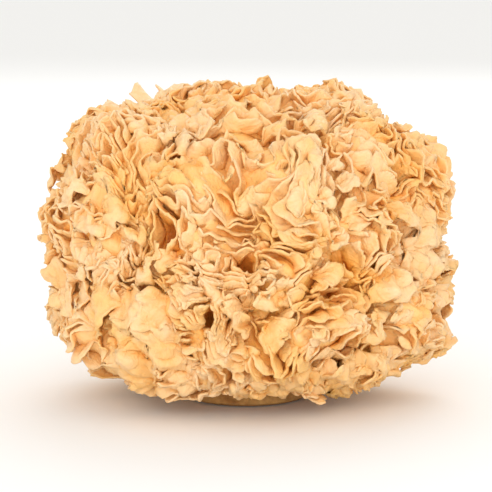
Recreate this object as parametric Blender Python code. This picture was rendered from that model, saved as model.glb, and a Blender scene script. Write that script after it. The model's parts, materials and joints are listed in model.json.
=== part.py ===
"""One dried head of snow fungus: clusters of ruffled fronds that fork from a hard, trimmed base.

Metres, +Z up. The origin is the centre of the cut face that the head rests on.
"""

import math

import bpy
import numpy as np

# Driving dimensions of the whole head, before its swells.
# Between its tips it then measures about 104 x 92 x 79 mm.
HEAD_WIDTH = 0.106
HEAD_DEPTH = 0.092
HEAD_HEIGHT = 0.078
PROFILE_POWER = 2.9  # 2 would be an ellipsoid; more squares the shoulders
OUTLINE_WAVE = 0.035  # share by which broad swells change the outline

# The base: a foot cut flat below, with a round top that every frond grows from.
GROWTH_HEIGHT = 0.014  # height of the point that the fronds radiate from
BASE_TOP_RADIUS = 0.0123
BASE_CUT_RADIUS = 0.0160
BASE_NECK_RADIUS = 0.0115
BASE_SEGMENTS = 24
BASE_CAP_RINGS = 5
BASE_LUMP = 0.0007
ROOT_RADIUS = 0.0133  # where a frond's root starts, just clear of the base

# The frond clusters: one on the crown, a middle ring and a drooping outer ring.
CROWN_ANGLE = math.radians(5)  # from straight up
CROWN_AZIMUTH = math.radians(200)
MIDDLE_COUNT = 6
MIDDLE_ANGLE = math.radians(46)
OUTER_COUNT = 8
OUTER_ANGLE = math.radians(86)
RIM_ANGLE = math.radians(108)  # where the lowest fronds end, a little below level
RING_JITTER = 0.10  # share of a ring's spacing by which a cluster is off its place
TILT_JITTER = math.radians(3.4)
FISSURE = 0.0016  # gap between neighbouring clusters at the outside

# The ruffles: crests and furrows in turn across each cluster.
CREST_SPACING = 0.0072
CREST_STEP = 0.0028  # distance between points along a crest
ROW_MARGIN = 0.04  # share of a cluster's breadth outside its first and last row
FURROW_DEPTH = 0.0090
FURROW_TAPER = 0.0029  # distance from a cluster's border within which furrows run out
EDGE_DROP = 0.0016  # how much lower a cluster's rim is than its middle
CREST_VARIATION = 0.0018
RUFFLE_SWING = 0.0026
RUFFLE_LENGTH = 0.0135
RUFFLE_TAPER = 0.0060

# Pits where the fronds part, as azimuth and elevation in degrees, seen from the growth point.
PITS = [
    (-115, 38), (-91, 32), (-101, 17), (-53, 27), (-55, 7),
    (-150, 52), (-20, 48), (25, 25), (62, 50), (95, 18), (128, 40), (165, 22), (205, 30), (60, 80),
]
PIT_DEPTH = 0.0100
PIT_RADIUS = 0.0034

UP = np.array([0.0, 0.0, 1.0])
SEED = 11


def unit(v):
    return v / np.linalg.norm(v, axis=-1, keepdims=True)


class Waves:
    """A smooth random field over directions: a sum of plane waves with seeded directions and phases."""

    def __init__(self, seed, count, frequency, amplitude, vector=False):
        draw = np.random.default_rng(seed)
        self.wave = unit(draw.normal(size=(count, 3))) * frequency
        self.phase = draw.uniform(0, 2 * math.pi, count)
        self.push = unit(draw.normal(size=(count, 3))) if vector else np.ones((count, 1))
        self.scale = amplitude * math.sqrt(2 / count)

    def at(self, d):
        return np.sin(d @ self.wave.T + self.phase) @ self.push * self.scale


BROAD_BEND = Waves(SEED + 1, 6, 5.0, 0.060, vector=True)
FINE_BEND = Waves(SEED + 2, 8, 17.0, 0.016, vector=True)
SWELL = Waves(SEED + 3, 7, 4.5, OUTLINE_WAVE)
CREST_NOISE = Waves(SEED + 4, 8, 16.0, CREST_VARIATION)


def bent(d):
    """Directions pushed sideways by smooth waves, so that no border or crest runs straight."""
    return unit(d + BROAD_BEND.at(d) + FINE_BEND.at(d))


def envelope(d):
    """Distance from the growth point to the head's outline along each unit direction."""
    low = np.zeros(len(d))
    high = np.full(len(d), HEAD_WIDTH + HEAD_HEIGHT)
    for _ in range(40):
        middle = (low + high) / 2
        p = d * middle[:, None]
        level = np.hypot(p[:, 0] / (HEAD_WIDTH / 2), p[:, 1] / (HEAD_DEPTH / 2))
        rise = (p[:, 2] + GROWTH_HEIGHT - HEAD_HEIGHT / 2) / (HEAD_HEIGHT / 2)
        inside = level**PROFILE_POWER + np.abs(rise) ** PROFILE_POWER < 1
        low = np.where(inside, middle, low)
        high = np.where(inside, high, middle)
    return low


def ring(count, angle, draw):
    """Seed directions spaced round a ring, each a little off its place."""
    seeds = []
    for i in range(count):
        azimuth = 2 * math.pi * (i + 0.5 + draw.uniform(-RING_JITTER, RING_JITTER)) / count
        polar = angle + draw.uniform(-TILT_JITTER, TILT_JITTER)
        seeds.append(direction(polar, azimuth))
    return seeds


def direction(polar, azimuth):
    flat = math.sin(polar)
    return np.array([flat * math.cos(azimuth), flat * math.sin(azimuth), math.cos(polar)])


def pit_depth(d):
    """How much the pits lower the outside along each unit direction."""
    depth = np.zeros(len(d))
    for azimuth, elevation in PITS:
        middle = direction(math.radians(90 - elevation), math.radians(azimuth))
        off = np.linalg.norm(d - middle, axis=1) * HEAD_WIDTH / 2
        depth = np.maximum(depth, PIT_DEPTH * np.exp(-((off / PIT_RADIUS) ** 2)))
    return depth


def mirrored_below_rim(d):
    """The direction as far under the rim as d is above it, so that the border between them is the rim."""
    polar = math.acos(d[2])
    return direction(2 * RIM_ANGLE - polar, math.atan2(d[1], d[0]))


def cell_outline(own, others, tilt):
    """The cluster's share of the directions, as a convex polygon in a flat chart.

    The chart is the plane that touches the unit sphere at own. Returns the polygon's points and the
    plane's two axes, the first one along the crests.
    """
    side = unit(np.cross(UP if abs(own[2]) < 0.9 else np.array([1.0, 0.0, 0.0]), own))
    up = np.cross(own, side)
    along = math.cos(tilt) * side + math.sin(tilt) * up
    across = np.cross(own, along)
    polygon = [np.array(p, float) for p in ((-1, -1), (1, -1), (1, 1), (-1, 1))]
    inset = FISSURE / 2 / (HEAD_WIDTH / 2)
    for other in others:
        apart = own - other
        normal = np.array([apart @ along, apart @ across])
        steepness = np.linalg.norm(normal)
        if steepness < 1e-9:
            continue
        polygon = clipped(polygon, normal / steepness, inset - apart @ own / steepness)
    return np.array(polygon), along, across


def clipped(polygon, normal, least):
    """The part of a convex polygon where a point's distance along normal is at least this."""
    kept = []
    for i, here in enumerate(polygon):
        after = polygon[(i + 1) % len(polygon)]
        a, b = here @ normal - least, after @ normal - least
        if a >= 0:
            kept.append(here)
        if a * b < 0:
            kept.append(here + (after - here) * a / (a - b))
    return kept


def span_at(polygon, n):
    """Where the line across = n enters and leaves the polygon."""
    found = []
    for i, a in enumerate(polygon):
        b = polygon[(i + 1) % len(polygon)]
        if (a[1] - n) * (b[1] - n) <= 0 and a[1] != b[1]:
            found.append(a[0] + (b[0] - a[0]) * (n - a[1]) / (b[1] - a[1]))
    return min(found), max(found)


def border_distance(polygon, points):
    """Distance of each point inside a convex polygon, ordered either way, to its nearest side."""
    best = np.full(len(points), np.inf)
    for i, a in enumerate(polygon):
        b = polygon[(i + 1) % len(polygon)]
        line = unit(b - a)
        offset = points - a
        best = np.minimum(best, np.abs(offset[:, 0] * line[1] - offset[:, 1] * line[0]))
    return best


class Cluster:
    """One main fork of the head: a wedge of frond that widens from the base to a ruffled outer face."""

    def __init__(self, name, own, others, tilt, phase):
        self.name = name
        self.own = own
        self.phase = phase
        self.reach = float(envelope(own[None])[0])
        self.polygon, self.along, self.across = cell_outline(own, others, tilt)

    def rows(self):
        """Points of each crest and furrow in the chart, with 1 for a crest and 0 for a furrow."""
        low, high = self.polygon[:, 1].min(), self.polygon[:, 1].max()
        size = (high - low) * self.reach
        count = max(2, round(size / CREST_SPACING))
        lines = 2 * count + 1
        margin = ROW_MARGIN * (high - low)
        made = []
        for j in range(lines):
            n = low + margin + (high - low - 2 * margin) * j / (lines - 1)
            start, end = span_at(self.polygon, n)
            steps = max(1, round((end - start) * self.reach / CREST_STEP))
            s = np.linspace(start, end, steps + 1)
            made.append((np.column_stack([s, np.full(len(s), n)]), j % 2))
        return made

    def ruffled(self, points):
        """The same points swung from side to side, all crests in step, and still at the border."""
        swing = RUFFLE_SWING / self.reach
        wave = 2 * math.pi * self.reach / RUFFLE_LENGTH
        taper = 1 - np.exp(-border_distance(self.polygon, points) * self.reach / RUFFLE_TAPER)
        moved = points.copy()
        moved[:, 1] += swing * taper * np.sin(wave * points[:, 0] + self.phase)
        return moved

    def directions(self, points):
        plain = self.own + points[:, :1] * self.along + points[:, 1:] * self.across
        return bent(unit(plain))

    def outer_radius(self, points, crest):
        """How far out the frond reaches at each point of a crest or a furrow."""
        d = self.directions(points)
        near = border_distance(self.polygon, points) * self.reach
        fall = EDGE_DROP * np.exp(-near / RUFFLE_TAPER)
        radius = envelope(d) * (1 + SWELL.at(d)[:, 0] - OUTLINE_WAVE) - fall + CREST_NOISE.at(d)[:, 0]
        if not crest:
            radius = radius - FURROW_DEPTH * (1 - np.exp(-near / FURROW_TAPER))
        return radius - pit_depth(d)

    def mesh(self):
        """Vertices and triangles of the closed solid."""
        radii, points, index = [], [], []
        total = 0
        for row, crest in self.rows():
            swung = self.ruffled(row)
            radii.append(self.outer_radius(swung, crest))
            points.append(swung)
            index.append(list(range(total, total + len(row))))
            total += len(row)
        d = self.directions(np.vstack(points))
        outer = d * np.concatenate(radii)[:, None]
        faces = []
        for lower, upper in zip(index, index[1:]):
            faces += zipped(lower, upper, np.vstack(points)[:, 0])
        loop = rim_of(index)
        root = d[loop] * ROOT_RADIUS
        middle = bent(self.own[None]) * ROOT_RADIUS
        centre = total + len(loop)
        for k, here in enumerate(loop):
            after = (k + 1) % len(loop)
            faces.append((here, total + k, loop[after]))
            faces.append((loop[after], total + k, total + after))
            faces.append((total + k, centre, total + after))
        vertices = np.vstack([outer, root, middle]) + UP * GROWTH_HEIGHT
        return vertices, faces


def zipped(lower, upper, place):
    """Triangles between two rows of vertices that run the same way."""
    faces = []
    i = j = 0
    while i + 1 < len(lower) or j + 1 < len(upper):
        if j + 1 == len(upper):
            step_low = True
        elif i + 1 == len(lower):
            step_low = False
        else:
            step_low = place[lower[i + 1]] < place[upper[j + 1]]
        if step_low:
            faces.append((lower[i], lower[i + 1], upper[j]))
            i += 1
        else:
            faces.append((lower[i], upper[j + 1], upper[j]))
            j += 1
    return faces


def rim_of(index):
    """The vertices round the edge of the outer face, anticlockwise seen from outside."""
    first, last = index[0], index[-1]
    right = [row[-1] for row in index[1:-1]]
    left = [row[0] for row in index[1:-1]]
    return first + right + last[::-1] + left[::-1]


def clusters():
    draw = np.random.default_rng(SEED)
    crown = [direction(CROWN_ANGLE, CROWN_AZIMUTH)]
    middle = ring(MIDDLE_COUNT, MIDDLE_ANGLE, draw)
    outer = ring(OUTER_COUNT, OUTER_ANGLE, draw)
    seeds = crown + middle + outer
    names = ["crown_frond"]
    names += [f"middle_frond_{i + 1}" for i in range(MIDDLE_COUNT)]
    names += [f"outer_frond_{i + 1}" for i in range(OUTER_COUNT)]
    below = [mirrored_below_rim(d) for d in outer]
    made = []
    for i, (name, own) in enumerate(zip(names, seeds)):
        others = seeds[:i] + seeds[i + 1 :] + below
        tilt = draw.uniform(0, math.pi)
        phase = draw.uniform(0, 2 * math.pi)
        made.append(Cluster(name, own, others, tilt, phase))
    return made


def base_mesh():
    """A lumpy foot: a flat cut, a waist that narrows upward, and a round top."""
    waist = [
        (BASE_CUT_RADIUS * 0.94, 0.0),
        (BASE_CUT_RADIUS, 0.0016),
        (BASE_CUT_RADIUS * 0.88, 0.0045),
        (BASE_NECK_RADIUS, 0.0080),
        (BASE_NECK_RADIUS, 0.0110),
    ]
    cap = []
    for k in range(BASE_CAP_RINGS):
        angle = math.radians(90) * k / BASE_CAP_RINGS
        height = GROWTH_HEIGHT + BASE_TOP_RADIUS * math.sin(angle)
        cap.append((BASE_TOP_RADIUS * math.cos(angle), height))
    lump = Waves(SEED + 5, 9, 420.0, BASE_LUMP)
    vertices = []
    for radius, height in waist + cap:
        angle = np.linspace(0, 2 * math.pi, BASE_SEGMENTS, endpoint=False)
        ring_points = np.column_stack(
            [radius * np.cos(angle), radius * np.sin(angle), np.full(BASE_SEGMENTS, height)]
        )
        inward = np.abs(lump.at(ring_points)) / max(radius, BASE_LUMP)
        ring_points[:, :2] *= 1 - inward
        vertices.append(ring_points)
    rings = len(vertices)
    top, bottom = rings * BASE_SEGMENTS, rings * BASE_SEGMENTS + 1
    ends = np.array([[0, 0, GROWTH_HEIGHT + BASE_TOP_RADIUS], [0, 0, 0]])
    faces = []
    for i in range(BASE_SEGMENTS):
        after = (i + 1) % BASE_SEGMENTS
        for k in range(rings - 1):
            low, high = k * BASE_SEGMENTS, (k + 1) * BASE_SEGMENTS
            faces.append((low + i, low + after, high + after))
            faces.append((low + i, high + after, high + i))
        faces.append(((rings - 1) * BASE_SEGMENTS + i, (rings - 1) * BASE_SEGMENTS + after, top))
        faces.append((after, i, bottom))
    return np.vstack(vertices + [ends]), faces


def material(name, colour, roughness):
    made = bpy.data.materials.new(name)
    made.use_nodes = True
    shader = made.node_tree.nodes["Principled BSDF"]
    shader.inputs["Base Color"].default_value = (*colour, 1)
    shader.inputs["Roughness"].default_value = roughness
    shader.inputs["Metallic"].default_value = 0
    return made


def add_object(name, vertices, faces, finish, sharp_angle):
    mesh = bpy.data.meshes.new(name)
    mesh.from_pydata([tuple(v) for v in vertices], [], faces)
    mesh.validate()
    mesh.materials.append(finish)
    mesh.shade_smooth()
    mesh.set_sharp_from_angle(angle=sharp_angle)
    made = bpy.data.objects.new(name, mesh)
    bpy.context.scene.collection.objects.link(made)
    return made


def build():
    for old in list(bpy.data.objects):
        bpy.data.objects.remove(old)
    callus = material("callus", (0.46, 0.24, 0.07), 0.8)
    add_object("base", *base_mesh(), callus, math.radians(40))
    cream = ((0.80, 0.56, 0.26), (0.84, 0.62, 0.32), (0.78, 0.52, 0.22))
    for i, cluster in enumerate(clusters()):
        finish = material(f"{cluster.name}_finish", cream[i % len(cream)], 0.6)
        add_object(cluster.name, *cluster.mesh(), finish, math.radians(35))


build()
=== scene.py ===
"""One dried head of snow fungus, dressed: thin ruffled fronds that fork from a lumpy brown base.

Each cluster of fronds is grown flat, in a chart of its own share of the head's surface: open lines lengthen,
keep clear of each other and so fold up. The stages of that growth, stacked from the base outwards, make each
line into a sheet that is plain at its root and more and more ruffled towards its margin.
"""

import json
import math

import bmesh
import bpy
import numpy as np
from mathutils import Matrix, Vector

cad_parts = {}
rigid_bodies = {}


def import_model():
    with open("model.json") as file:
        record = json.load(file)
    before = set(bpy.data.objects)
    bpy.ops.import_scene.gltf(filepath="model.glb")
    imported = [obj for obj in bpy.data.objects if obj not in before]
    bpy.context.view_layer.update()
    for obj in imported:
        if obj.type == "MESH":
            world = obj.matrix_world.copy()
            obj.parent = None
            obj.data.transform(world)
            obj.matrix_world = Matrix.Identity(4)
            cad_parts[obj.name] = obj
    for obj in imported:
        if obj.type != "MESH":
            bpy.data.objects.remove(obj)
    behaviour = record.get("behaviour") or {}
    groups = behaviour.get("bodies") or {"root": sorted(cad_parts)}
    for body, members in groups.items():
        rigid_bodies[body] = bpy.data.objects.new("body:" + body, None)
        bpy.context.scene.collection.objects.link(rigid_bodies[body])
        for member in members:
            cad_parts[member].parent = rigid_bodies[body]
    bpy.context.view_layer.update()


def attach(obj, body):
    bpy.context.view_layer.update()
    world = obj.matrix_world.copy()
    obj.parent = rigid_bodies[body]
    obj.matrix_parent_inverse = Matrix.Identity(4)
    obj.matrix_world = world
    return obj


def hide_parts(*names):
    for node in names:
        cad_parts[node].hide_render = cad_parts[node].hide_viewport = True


for old in list(bpy.data.objects):
    bpy.data.objects.remove(old)
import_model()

MM = 0.001
SEED = 11
UP = np.array([0.0, 0.0, 1.0])
TINY = 1e-9  # a length or a slope this small counts as none
ROUNDS = 30  # of each search that comes closer step by step

# The head's form, as in the part's own source.
HEAD_WIDTH = 0.106
HEAD_DEPTH = 0.092
HEAD_HEIGHT = 0.078
PROFILE_POWER = 2.9
OUTLINE_WAVE = 0.035
GROWTH_HEIGHT = 0.014
BASE_TOP_RADIUS = 0.0123
BASE_CUT_RADIUS = 0.0160
BASE_NECK_RADIUS = 0.0115
ROOT_RADIUS = 0.0133
CROWN_ANGLE = math.radians(5)
CROWN_AZIMUTH = math.radians(200)
MIDDLE_COUNT = 6
MIDDLE_ANGLE = math.radians(46)
OUTER_COUNT = 8
OUTER_ANGLE = math.radians(86)
RIM_ANGLE = math.radians(108)
RING_JITTER = 0.10
TILT_JITTER = math.radians(3.4)
FISSURE = 0.0016
CREST_SPACING = 0.0072
ROW_MARGIN = 0.04
EDGE_DROP = 0.0016
CREST_VARIATION = 0.0018
RUFFLE_SWING = 0.0026
RUFFLE_LENGTH = 0.0135
RUFFLE_TAPER = 0.0060
PITS = [
    (-115, 38), (-91, 32), (-101, 17), (-53, 27), (-55, 7),
    (-150, 52), (-20, 48), (25, 25), (62, 50), (95, 18), (128, 40), (165, 22), (205, 30), (60, 80),
]
PIT_DEPTH = 0.0100
PIT_RADIUS = 0.0034

# Growth of the lines, in a cluster's flat chart.
SEED_TRIES = 900
SEED_LENGTH = (5.0 * MM, 13.0 * MM)
SEED_BEND = 1.1  # radians that a first line turns along its length
SEED_GAP = 3.1 * MM
SEED_INSET = 0.8 * MM
STEPS = 340
STAGES = 20  # of the growth that are kept
LINK = 0.80 * MM  # wanted distance between points of a line
LONG_LINK = 1.5  # in wanted distances: a longer link is split
FAIR_LINK = 0.88  # a longer one is split by chance
SPLIT_CHANCE = 0.22
SETTLING = 12  # the last steps, in which no link is split
CLEARANCE = 1.95 * MM  # distance that lines keep from each other
CLEARANCE_SWING = 0.22  # share by which it varies over a chart
PAIR_REACH = 1.4  # in clearances
PAIR_STEPS = 4  # between two searches for close points
CHART_PITCH = 0.16  # distance between the charts, which are laid side by side
PIT_CLEARANCE = 3.5 * MM
BORDER_ROOM = -0.35 * MM  # lines may cross the chart's side by this much, into half the fissure

# What moves a point in one step: shares of what is wrong, and lengths.
LINK_PULL = 0.27
EASING = 0.26
PIT_PUSH = 0.25
CLEARANCE_PUSH = 0.22  # in mm
JITTER = 0.010 * MM
LARGEST_MOVE = 0.4 * MM

# Places where broad, smooth fronds lie over the fine ones: azimuth, elevation and angular radius in degrees,
# and how large the fronds are there.
SMOOTH_SPOTS = [
    (-30, 26, 21, 1.25), (-38, -2, 15, 1.0), (-150, 24, 21, 1.25), (-152, 46, 12, 1.1), (-124, 4, 17, 1.0),
    (-68, -10, 11, 0.9), (30, 5, 18, 1.0), (8, 48, 12, 0.9), (75, 30, 16, 1.1), (112, 2, 16, 1.0),
    (160, 30, 16, 1.1), (168, -6, 12, 0.9), (60, 72, 10, 0.9),
]
SINK = 2.4 * MM  # how far the fine fronds under a broad one stay below the outline
COVER_RADIUS = 5.5 * MM  # how far a broad frond of size 1 reaches from its middle
FLAKE_TRIES = 5000
FLAKE_SPACING = 8.6 * MM
FLAKE_PIT_ROOM = 7.0 * MM
FLAKE_LOWEST = -0.30  # upward part of the lowest direction
STRAY_SPACING = 24.0 * MM  # of the small broad fronds among the fine ones
STRAY_SIZE = 0.72
BARE_TRIES = 1500
BARE_INSET = 0.5 * MM
BARE_ROOM = 2.25 * MM  # a place this far from every line gets a small frond
BORDER_SPACING = 15.0 * MM  # of the small fronds that hide the gaps between clusters
FILL_SPACING = 3.8 * MM
FILL_PIT_ROOM = 6.0 * MM
FILL_LOWEST = -0.25
FILL_SIZE = (0.40, 0.62)

# A broad frond of size 1: a fan that lies over. Its drops are measured from the head's outline.
FLAKE_LENGTH = (8.0 * MM, 13.0 * MM)
FLAKE_HALF_FAN = (0.70, 1.15)  # radians
FLAKE_ROWS = 15
FLAKE_POINTS = 34  # across
FEWEST_ROWS = 8
FEWEST_POINTS = 14
FLAKE_START = 0.10  # share of its length at which its first row lies
LAY_SHARES = (0.8, 0.7, 0.5)  # of chance, outwards and downwards in the way that it lies over
LAY_TURN = 0.45
SIDE_LOSS = 0.42  # how much shorter it is at its sides
LOBES = ((0.04, 0.10), (3.1, 5.3, 8.7))  # swings and rates of the waves of its margin
FRINGES = ((0.010, 0.022), (17.0, 26.0, 39.0))
DROOP = (0.8, 3.0)  # in mm, of its sides
TILT = 0.6  # in mm
ROOT_DROP = 5.5 * MM
SLOPE_DROP = 2.4 * MM
FLAKE_DROP = 1.0 * MM
SMALL_DROP = 1.0 * MM
FOLD_HEIGHT = 0.24 * MM
FOLD_RATE = (17, 25)
ROLL_START = 0.72  # share of its length beyond which its margin rolls
ROLL_DROP = 0.9 * MM
FLAKE_CRUMPLES = (0.9, 1.5)  # shares of the coarse and the fine crumples
FLAKE_FADE = 4  # how much slower than a fine frond's its colour changes from the margin

# The fine sheets, which stand on each cluster's thick stalk. Their drops are where a margin lies lower.
LAYERS = 6
LAYER_SHARES = 1 - (1 - np.linspace(0, 1, LAYERS)) ** 1.5  # of a sheet's height, closest at its margin
POINT_STEP = 0.86 * MM  # distance between points along a straight margin
TURN_STEP = 0.45  # least turn, in radians, that earns a point of its own
LINE_POINTS = 5  # fewest on a line
SHEET_THICKNESS = 0.75 * MM
MARGIN_THICKNESS = 0.40 * MM
MARGIN_TAPER = 0.4 * MM
UNDERSIDE_SHADE = 5.0 * MM  # painted shade: a sheet's inward-facing side is as amber as a place that lies this much deeper
SIDE_FILL = 0.9  # share of the solid's drop at a cluster's sides that the sheets fill
FURROW_DROP = 1.2 * MM
NOTCH_DROP = 1.1 * MM
BROAD_NOTCH_DROP = 0.8 * MM
FINE_NOTCH_DROP = 0.40 * MM
PIT_DROP = 1.5 * MM
FOOT_SINK = 0.8 * MM  # how deep a sheet's foot stands in the stalk
LEAST_HEIGHT = 2.0 * MM
CURL_HEIGHT = 4.2 * MM  # the part of a sheet below its margin that curls
CURL_LOSS = 0.35  # how much a sheet is lowered by its curl
ROLL_SHARE = 0.8
PIT_CALM = 2.1  # in pit radii: sheets nearer to a pit curl less

# The stalks. A place on them takes the colour of one at this depth and this far from a margin.
STALK_DEPTH = 4.7 * MM  # how far the stalk's top lies below the margins
STALK_PIT = 0.75  # share of a pit's depth that its hole in the stalk has
STALK_RAYS = 108
STALK_RINGS = 22  # over the top
STALK_STEPS = 9  # down the side
STALK_REACH = 0.85 * FISSURE  # past its chart's sides
STALK_HUB = 0.02  # in rings, the radius of the top's middle face
STALK_ROUND = 0.5 * MM  # of the top's rim
STALK_PLEAT = 0.10
STALK_SHADE = 9 * MM
STALK_EDGE = 10 * MM
PIT_SHADE = 13.0 * MM  # painted shade: a pit's inside is as amber as a place that lies this much deeper
PIT_SHADE_REACH = 1.35  # in pit radii

# Painted shade, where light is kept out: the tissue that light passes on its way to a place, summed in cells
# along a few rays.
CELL = 1.0 * MM
RAY_COUNT = 18
RAY_STEPS = 12
RAY_START = 1.4  # in cells, clear of a place's own sheet
DIMMING = 0.55  # how much a sheet in the way dims the light

# The foot's outline: shares of its cut's and of its neck's radius, and heights. A dome closes it at the top.
CUT_PROFILE = [(0, 0), (0.9, 0), (0.97, 0.0003), (1, 0.0012), (0.99, 0.0022), (0.94, 0.0034), (0.86, 0.0050)]
NECK_PROFILE = [(1.06, 0.0066), (1, 0.0080), (1, 0.0096), (1.02, 0.0112)]
DOME_POINTS = 12
BASE_ROWS = 90
BASE_SEGMENTS = 120
CUT_ROOM = 1.5 * MM  # the foot is less lumpy within this height of its cut

# The colours, and how far each cause takes a frond from cream to brown.
FROND_COLOURS = [
    (0.00, (0.935, 0.640, 0.352)),
    (0.14, (0.950, 0.610, 0.292)),
    (0.40, (0.975, 0.590, 0.228)),
    (0.68, (0.980, 0.510, 0.135)),
    (0.86, (0.860, 0.360, 0.060)),
    (1.00, (0.560, 0.185, 0.022)),
]
AMBER_DEPTH = 0.013
AMBER_SHARE = 0.38
BROWN_DEPTH = 0.022  # in pits, partly as painted shade, and on stalks
BROWN_SHARE = 0.40
FAR_EDGE = 0.007
EDGE_SHARE = 0.27
# painted shade: the colour darkens where the crowded sheets keep light out
PAINTED_SHADE_SPAN = (0.30, 0.95)
PAINTED_SHADE_SHARE = 0.30
BLOTCH_SHARE = 0.11
SPECK_SHARE = 0.06
YELLOW = (0.97, 0.80, 0.36, 1)

CALLUS_COLOURS = [
    (0.30, (0.250, 0.100, 0.022)),
    (0.45, (0.480, 0.235, 0.062)),
    (0.58, (0.640, 0.360, 0.110)),
    (0.72, (0.740, 0.500, 0.220)),
]
RIND_COLOUR = (0.190, 0.070, 0.016, 1)
RIND_RADII = (0.0148, 0.0176)
PORE_COLOUR = (0.130, 0.045, 0.010, 1)

# The stage: each light's name, place, size and power, and where the camera stands and looks.
LIGHTS = (
    ("key", (-0.20, -0.98, 0.34), 0.80, 3.2),
    ("fill", (0.40, -0.94, 0.18), 0.90, 1.7),
    ("back", (0.15, 0.85, 0.75), 0.90, 3.0),
)
CAMERA_DISTANCE = 0.56
CAMERA_ELEVATION = math.radians(8)
CAMERA_TARGET = (0, 0, 0.0375)


def length(v):
    return np.linalg.norm(v, axis=-1)


def unit(v, least=1e-12):
    return v / np.maximum(length(v)[..., None], least)


class Waves:
    """A smooth random field over directions or places: a sum of plane waves that are drawn from a seed."""

    def __init__(self, seed, count, frequency, amplitude, vector=False):
        draw = np.random.default_rng(seed)
        self.wave = unit(draw.normal(size=(count, 3))) * frequency
        self.phase = draw.uniform(0, 2 * math.pi, count)
        self.push = unit(draw.normal(size=(count, 3))) if vector else np.ones((count, 1))
        self.scale = amplitude * math.sqrt(2 / count)

    def at(self, d):
        return np.sin(d @ self.wave.T + self.phase) @ self.push * self.scale


BROAD_BEND = Waves(SEED + 1, 6, 5.0, 0.060, vector=True)
FINE_BEND = Waves(SEED + 2, 8, 17.0, 0.016, vector=True)
SWELL = Waves(SEED + 3, 7, 4.5, OUTLINE_WAVE)
CREST_NOISE = Waves(SEED + 4, 8, 16.0, CREST_VARIATION)

# Fields of the sheets: how their margins are notched, curled and crumpled, by place.
NOTCHES = Waves(SEED + 40, 12, 2 * math.pi / 0.0065, 1.0)
BROAD_NOTCHES = Waves(SEED + 41, 10, 2 * math.pi / 0.020, 1.0)
FINE_NOTCHES = Waves(SEED + 43, 16, 2 * math.pi / 0.0026, 1.0)
CURL = Waves(SEED + 42, 14, 2 * math.pi / 0.013, 2.6 * MM, vector=True)
ROLL = Waves(SEED + 51, 12, 2 * math.pi / 0.0070, 0.8 * MM)
CRUMPLE = Waves(SEED + 44, 18, 2 * math.pi / 0.0050, 0.60 * MM, vector=True)
FINE_CRUMPLE = Waves(SEED + 45, 24, 2 * math.pi / 0.0021, 0.19 * MM, vector=True)
STALK_LUMPS = Waves(SEED + 46, 14, 26.0, 0.9 * MM)
STALK_FOLDS = Waves(SEED + 53, 16, 2 * math.pi / 0.0048, 0.55 * MM)
PLEATS = Waves(SEED + 47, 14, 34.0, 1.0)
LAY_WAY = Waves(SEED + 48, 8, 3.0, 1.0, vector=True)
LEAN = Waves(SEED + 49, 10, 2 * math.pi / 0.030, 2.2 * MM, vector=True)
FLAKE_WAVE = Waves(SEED + 50, 12, 2 * math.pi / 0.0072, 1.15 * MM)
FLAKE_RUFFLE = Waves(SEED + 52, 16, 2 * math.pi / 0.0036, 0.62 * MM)
BASE_LUMPS = Waves(SEED + 60, 14, 2 * math.pi / 0.0085, 0.0006)
BASE_GRAIN = Waves(SEED + 61, 20, 2 * math.pi / 0.0024, 0.00018)


def bent(d):
    return unit(d + BROAD_BEND.at(d) + FINE_BEND.at(d))


def unbent(d):
    """The direction that bent() moves to d."""
    plain = d.copy()
    for _ in range(ROUNDS):
        plain = unit(plain + (d - bent(plain)))
    return plain


def envelope(d):
    """Distance from the growth point to the head's outline along each unit direction."""
    low = np.zeros(len(d))
    high = np.full(len(d), HEAD_WIDTH + HEAD_HEIGHT)
    for _ in range(ROUNDS):
        middle = (low + high) / 2
        p = d * middle[:, None]
        level = np.hypot(p[:, 0] / (HEAD_WIDTH / 2), p[:, 1] / (HEAD_DEPTH / 2))
        rise = (p[:, 2] + GROWTH_HEIGHT - HEAD_HEIGHT / 2) / (HEAD_HEIGHT / 2)
        inside = level**PROFILE_POWER + np.abs(rise) ** PROFILE_POWER < 1
        low = np.where(inside, middle, low)
        high = np.where(inside, high, middle)
    return low


def direction(polar, azimuth):
    flat = math.sin(polar)
    return np.array([flat * math.cos(azimuth), flat * math.sin(azimuth), math.cos(polar)])


def ring(count, angle, draw):
    seeds = []
    for i in range(count):
        azimuth = 2 * math.pi * (i + 0.5 + draw.uniform(-RING_JITTER, RING_JITTER)) / count
        seeds.append(direction(angle + draw.uniform(-TILT_JITTER, TILT_JITTER), azimuth))
    return seeds


PIT_DIRECTIONS = np.array([direction(math.radians(90 - e), math.radians(a)) for a, e in PITS])
SMOOTH_DIRECTIONS = np.array([direction(math.radians(90 - s[1]), math.radians(s[0])) for s in SMOOTH_SPOTS])
SMOOTH_RADII = np.radians([s[2] for s in SMOOTH_SPOTS])


def smoothness(d):
    """1 where fronds are broad and lie flat, falling to 0 where they are fine and upright."""
    off = length(d[:, None] - SMOOTH_DIRECTIONS) / SMOOTH_RADII
    return np.exp(-(off**4)).max(axis=1)


def pit_distance(d):
    """Distance over the head from each direction to the nearest pit."""
    return length(d[:, None] - PIT_DIRECTIONS).min(axis=1) * HEAD_WIDTH / 2


def pit_shade(off):
    """Depth to add for the colour as painted shade in a pit, at a distance from the nearest pit."""
    return PIT_SHADE * np.exp(-((off / (PIT_SHADE_REACH * PIT_RADIUS)) ** 4))


def clipped(polygon, normal, least):
    """The part of a convex polygon where a point's distance along normal is at least this."""
    kept = []
    for i, here in enumerate(polygon):
        after = polygon[(i + 1) % len(polygon)]
        a, b = here @ normal - least, after @ normal - least
        if a >= 0:
            kept.append(here)
        if a * b < 0:
            kept.append(here + (after - here) * a / (a - b))
    return kept


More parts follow.
